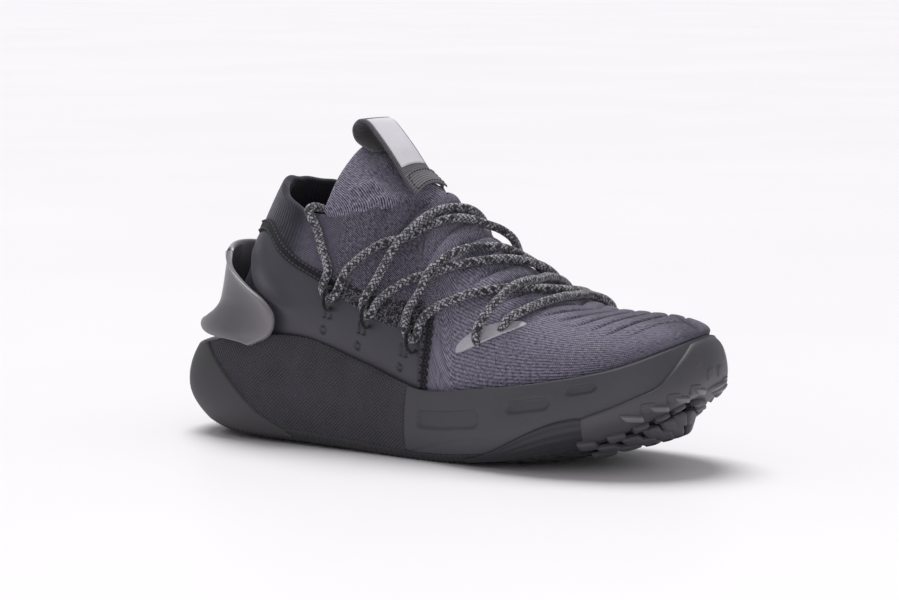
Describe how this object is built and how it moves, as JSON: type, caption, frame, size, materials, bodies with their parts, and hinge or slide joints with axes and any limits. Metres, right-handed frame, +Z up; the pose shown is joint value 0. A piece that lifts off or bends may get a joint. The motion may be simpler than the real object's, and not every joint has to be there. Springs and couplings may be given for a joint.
{
  "type": "running shoe",
  "caption": "Dark knit running shoe for the right foot, with moulded side panels, round lace, heel clip, pull tab and rubber toe bumper.",
  "frame": {"origin": "middle of the shoe's outer box, on the floor", "axes": "+X towards the toe, +Z up, +Y towards the inner side of the foot"},
  "size_m": [0.303, 0.1048, 0.1638],
  "materials": {
    "rubber_dark": "satin",
    "rubber_toe": "matte",
    "foam_dark": "matte",
    "foam_core": "matte",
    "wrap_textile": "matte",
    "quarter_film": "matte",
    "knit_dark": "matte",
    "rib_knit": "matte",
    "lining": "matte",
    "padding": "matte",
    "board": "matte",
    "insole_cloth": "matte",
    "seam_tape": "matte",
    "thread": "matte",
    "heather": "matte",
    "eyelet_film": "satin",
    "loop_cord": "matte",
    "lace_grey": "matte",
    "aglet": "gloss",
    "clip_tpu": "satin",
    "badge": "satin",
    "webbing": "matte",
    "label": "matte",
    "counter": "matte"
  },
  "bodies": {
    "rear_shoe": {"outsole_heel": "rubber_dark", "outsole_midfoot": "rubber_dark", "foam_core": "foam_core", "heel_cap": "foam_dark", "mesh_wrap": "wrap_textile", "midsole_carrier": "foam_dark", "strobel_board": "board", "insole": "insole_cloth", "rear_lining": "lining", "ankle_padding": "padding", "heel_counter": "counter", "quarter_lateral": "quarter_film", "quarter_medial": "quarter_film", "vamp_knit": "knit_dark", "vamp_flex_panel": "knit_dark", "rib_knit_collar": "rib_knit", "collar_seam_tape": "seam_tape", "seam_stitch_lateral": "thread", "seam_stitch_medial": "thread", "edge_strip_lateral": "heather", "edge_strip_medial": "heather", "eyelet_film_lateral": "eyelet_film", "eyelet_film_medial": "eyelet_film", "lace_loops": "loop_cord", "lace": "lace_grey", "lace_aglets": "aglet", "heel_clip": "clip_tpu", "clip_badge": "badge"},
    "forefoot": {"midsole_forefoot": "foam_dark", "outsole_forefoot": "rubber_dark", "toe_bumper": "rubber_toe", "toe_box_knit": "knit_dark", "toe_lining": "lining"},
    "tongue": {"tongue_top": "knit_dark", "pull_tab_webbing": "webbing", "pull_tab_label": "label", "pull_tab_base": "webbing"}
  },
  "joints": [
    {"name": "toe_flex", "type": "hinge", "parent": "rear_shoe", "child": "forefoot", "pos_m": [0.07977, 0.00128, 0.038], "axis": [-0.2294, -0.9733, 0], "range_deg": [0, 30], "stiffness_Nm_per_rad": 8, "deforming": ["vamp_flex_panel", "insole", "strobel_board"]},
    {"name": "tongue_tilt", "type": "hinge", "parent": "rear_shoe", "child": "tongue", "pos_m": [-0.00339, 0.00128, 0.125], "axis": [0, 1, 0], "range_deg": [0, 22], "stiffness_Nm_per_rad": 0.6}
  ]
}
